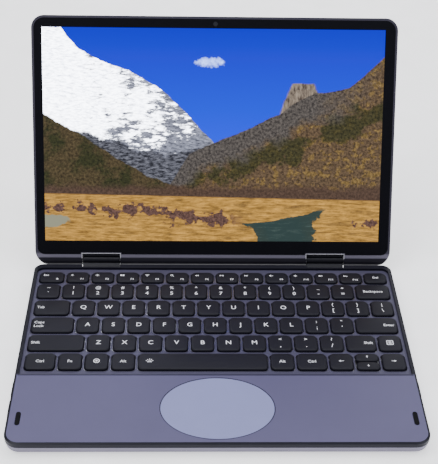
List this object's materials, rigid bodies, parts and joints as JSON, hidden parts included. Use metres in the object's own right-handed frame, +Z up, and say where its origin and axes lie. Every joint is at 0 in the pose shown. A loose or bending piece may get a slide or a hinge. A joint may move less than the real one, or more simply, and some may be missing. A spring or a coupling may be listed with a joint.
{
  "type": "laptop computer",
  "caption": "Small grey convertible laptop standing open, with a double-axis hinge, dark keys, an oval touchpad and a touch screen.",
  "frame": {"origin": "middle of the open laptop's footprint box, on the surface its feet rest on", "axes": "+X to the user's right, +Y towards the back, +Z up"},
  "size_m": [0.2438, 0.245, 0.1599],
  "materials": {
    "cover_metal": "fine sand-blasted and anodised grey",
    "rim_metal": "dark anodised, satin",
    "deck_metal": "sand-blasted and anodised blue grey",
    "plate_metal": "sand-blasted and anodised, darker than the palm rest",
    "lid_metal": "sand-blasted and anodised grey",
    "hinge_metal": "dark painted satin",
    "pad_glass": "etched satin, opaque",
    "screen_glass": "polished, black border round a clear window",
    "display": "lit picture",
    "key_plastic": "fine matte, white legends",
    "black_plastic": "moulded",
    "black_rubber": "matte",
    "clear_rubber": "translucent",
    "steel": "brushed",
    "dark_steel": "black zinc",
    "circuit_board": "solder mask",
    "copper": "copper, dull",
    "battery_wrap": "foil wrap",
    "ribbon": "flat flex"
  },
  "bodies": {
    "base": {"bottom_cover": "cover_metal", "top_case": "rim_metal", "palm_rest": "deck_metal", "deck_bumpers": "black_rubber", "keyboard_plate": "plate_metal", "keyboard_base_plate": "steel", "key_domes": "clear_rubber", "touchpad_frame": "steel", "case_screws": "dark_steel", "rubber_feet": "black_rubber", "mainboard": "circuit_board", "heat_pipe": "copper", "fan_housing": "black_plastic", "battery_cells": "battery_wrap", "speakers": "black_plastic", "ssd_module": "circuit_board", "wifi_card": "circuit_board", "usb_c_ports": "steel", "audio_jack": "black_plastic", "button_switches": "black_plastic", "hinge_base_brackets": "steel", "base_bracket_screws": "dark_steel"},
    "hinge_links": {"hinge_housings": "hinge_metal", "hinge_link_plates": "steel"},
    "lid": {"lid_cover": "lid_metal", "touch_glass": "screen_glass", "lcd_panel": "display", "camera_module": "black_plastic", "display_cable": "ribbon", "hinge_lid_brackets": "steel", "lid_bracket_screws": "dark_steel"},
    "touchpad": {"touchpad": "pad_glass"},
    "fan_rotor": {"fan_impeller": "black_plastic"},
    "power_button": {"power_button": "rim_metal"},
    "volume_up_button": {"volume_up_button": "rim_metal"},
    "volume_down_button": {"volume_down_button": "rim_metal"},
    "escape_key": {"escape_key": "key_plastic"},
    "backspace_key": {"backspace_key": "key_plastic"},
    "tab_key": {"tab_key": "key_plastic"},
    "caps_lock_key": {"caps_lock_key": "key_plastic"},
    "enter_key": {"enter_key": "key_plastic"},
    "left_shift_key": {"left_shift_key": "key_plastic"},
    "right_shift_key": {"right_shift_key": "key_plastic"},
    "menu_key": {"menu_key": "key_plastic"},
    "left_ctrl_key": {"left_ctrl_key": "key_plastic"},
    "fn_key": {"fn_key": "key_plastic"},
    "symbol_key": {"symbol_key": "key_plastic"},
    "left_alt_key": {"left_alt_key": "key_plastic"},
    "space_bar": {"space_bar": "key_plastic"},
    "right_alt_key": {"right_alt_key": "key_plastic"},
    "right_ctrl_key": {"right_ctrl_key": "key_plastic"},
    "arrow_left_key": {"arrow_left_key": "key_plastic"},
    "arrow_up_key": {"arrow_up_key": "key_plastic"},
    "arrow_down_key": {"arrow_down_key": "key_plastic"},
    "arrow_right_key": {"arrow_right_key": "key_plastic"},
    "function_keys": {"function_keys": "key_plastic"},
    "number_keys": {"number_keys": "key_plastic"},
    "upper_letter_keys": {"upper_letter_keys": "key_plastic"},
    "home_letter_keys": {"home_letter_keys": "key_plastic"},
    "lower_letter_keys": {"lower_letter_keys": "key_plastic"}
  },
  "joints": [
    {"name": "hinge_base", "type": "hinge", "parent": "base", "child": "hinge_links", "pos_m": [0, 0.04151, 0.0052], "axis": [-1, 0, 0], "range_deg": [-57.7, 122.3]},
    {"name": "hinge_lid", "type": "hinge", "parent": "hinge_links", "child": "lid", "pos_m": [0, 0.04921, 0.01006], "axis": [-1, 0, 0], "range_deg": [-57.7, 122.3]},
    {"name": "touchpad_click", "type": "slide", "parent": "base", "child": "touchpad", "axis": [0, 0, -1], "range_m": [0, 0.0003], "stiffness_N_per_m": 800, "springref_m": -0.0003},
    {"name": "fan_spin", "type": "hinge", "parent": "base", "child": "fan_rotor", "pos_m": [0.03, 0.00111, 0.0043], "axis": [0, 0, 1], "continuous": true},
    {"name": "power_press", "type": "slide", "parent": "base", "child": "power_button", "axis": [-1, 0, 0], "range_m": [0, 0.0004], "stiffness_N_per_m": 1500, "springref_m": -0.0003},
    {"name": "volume_up_press", "type": "slide", "parent": "base", "child": "volume_up_button", "axis": [1, 0, 0], "range_m": [0, 0.0004], "stiffness_N_per_m": 1500, "springref_m": -0.0003},
    {"name": "volume_down_press", "type": "slide", "parent": "base", "child": "volume_down_button", "axis": [1, 0, 0], "range_m": [0, 0.0004], "stiffness_N_per_m": 1500, "springref_m": -0.0003},
    {"name": "escape_press", "type": "slide", "parent": "base", "child": "escape_key", "axis": [0, 0, -1], "range_m": [0, 0.0012], "stiffness_N_per_m": 400, "springref_m": -0.0004},
    {"name": "backspace_press", "type": "slide", "parent": "base", "child": "backspace_key", "axis": [0, 0, -1], "range_m": [0, 0.0012], "stiffness_N_per_m": 400, "springref_m": -0.0004},
    {"name": "tab_press", "type": "slide", "parent": "base", "child": "tab_key", "axis": [0, 0, -1], "range_m": [0, 0.0012], "stiffness_N_per_m": 400, "springref_m": -0.0004},
    {"name": "caps_lock_press", "type": "slide", "parent": "base", "child": "caps_lock_key", "axis": [0, 0, -1], "range_m": [0, 0.0012], "stiffness_N_per_m": 400, "springref_m": -0.0004},
    {"name": "enter_press", "type": "slide", "parent": "base", "child": "enter_key", "axis": [0, 0, -1], "range_m": [0, 0.0012], "stiffness_N_per_m": 400, "springref_m": -0.0004},
    {"name": "left_shift_press", "type": "slide", "parent": "base", "child": "left_shift_key", "axis": [0, 0, -1], "range_m": [0, 0.0012], "stiffness_N_per_m": 400, "springref_m": -0.0004},
    {"name": "right_shift_press", "type": "slide", "parent": "base", "child": "right_shift_key", "axis": [0, 0, -1], "range_m": [0, 0.0012], "stiffness_N_per_m": 400, "springref_m": -0.0004},
    {"name": "menu_press", "type": "slide", "parent": "base", "child": "menu_key", "axis": [0, 0, -1], "range_m": [0, 0.0012], "stiffness_N_per_m": 400, "springref_m": -0.0004},
    {"name": "left_ctrl_press", "type": "slide", "parent": "base", "child": "left_ctrl_key", "axis": [0, 0, -1], "range_m": [0, 0.0012], "stiffness_N_per_m": 400, "springref_m": -0.0004},
    {"name": "fn_press", "type": "slide", "parent": "base", "child": "fn_key", "axis": [0, 0, -1], "range_m": [0, 0.0012], "stiffness_N_per_m": 400, "springref_m": -0.0004},
    {"name": "symbol_press", "type": "slide", "parent": "base", "child": "symbol_key", "axis": [0, 0, -1], "range_m": [0, 0.0012], "stiffness_N_per_m": 400, "springref_m": -0.0004},
    {"name": "left_alt_press", "type": "slide", "parent": "base", "child": "left_alt_key", "axis": [0, 0, -1], "range_m": [0, 0.0012], "stiffness_N_per_m": 400, "springref_m": -0.0004},
    {"name": "space_bar_press", "type": "slide", "parent": "base", "child": "space_bar", "axis": [0, 0, -1], "range_m": [0, 0.0012], "stiffness_N_per_m": 400, "springref_m": -0.0004},
    {"name": "right_alt_press", "type": "slide", "parent": "base", "child": "right_alt_key", "axis": [0, 0, -1], "range_m": [0, 0.0012], "stiffness_N_per_m": 400, "springref_m": -0.0004},
    {"name": "right_ctrl_press", "type": "slide", "parent": "base", "child": "right_ctrl_key", "axis": [0, 0, -1], "range_m": [0, 0.0012], "stiffness_N_per_m": 400, "springref_m": -0.0004},
    {"name": "arrow_left_press", "type": "slide", "parent": "base", "child": "arrow_left_key", "axis": [0, 0, -1], "range_m": [0, 0.0012], "stiffness_N_per_m": 400, "springref_m": -0.0004},
    {"name": "arrow_up_press", "type": "slide", "parent": "base", "child": "arrow_up_key", "axis": [0, 0, -1], "range_m": [0, 0.0012], "stiffness_N_per_m": 400, "springref_m": -0.0004},
    {"name": "arrow_down_press", "type": "slide", "parent": "base", "child": "arrow_down_key", "axis": [0, 0, -1], "range_m": [0, 0.0012], "stiffness_N_per_m": 400, "springref_m": -0.0004},
    {"name": "arrow_right_press", "type": "slide", "parent": "base", "child": "arrow_right_key", "axis": [0, 0, -1], "range_m": [0, 0.0012], "stiffness_N_per_m": 400, "springref_m": -0.0004},
    {"name": "function_press", "type": "slide", "parent": "base", "child": "function_keys", "axis": [0, 0, -1], "range_m": [0, 0.0012], "stiffness_N_per_m": 5200, "springref_m": -0.0004},
    {"name": "number_press", "type": "slide", "parent": "base", "child": "number_keys", "axis": [0, 0, -1], "range_m": [0, 0.0012], "stiffness_N_per_m": 5200, "springref_m": -0.0004},
    {"name": "upper_letter_press", "type": "slide", "parent": "base", "child": "upper_letter_keys", "axis": [0, 0, -1], "range_m": [0, 0.0012], "stiffness_N_per_m": 5200, "springref_m": -0.0004},
    {"name": "home_letter_press", "type": "slide", "parent": "base", "child": "home_letter_keys", "axis": [0, 0, -1], "range_m": [0, 0.0012], "stiffness_N_per_m": 5200, "springref_m": -0.0004},
    {"name": "lower_letter_press", "type": "slide", "parent": "base", "child": "lower_letter_keys", "axis": [0, 0, -1], "range_m": [0, 0.0012], "stiffness_N_per_m": 5200, "springref_m": -0.0004}
  ],
  "couplings": [
    {"joint": "hinge_lid", "follows": "hinge_base", "ratio": 1}
  ]
}
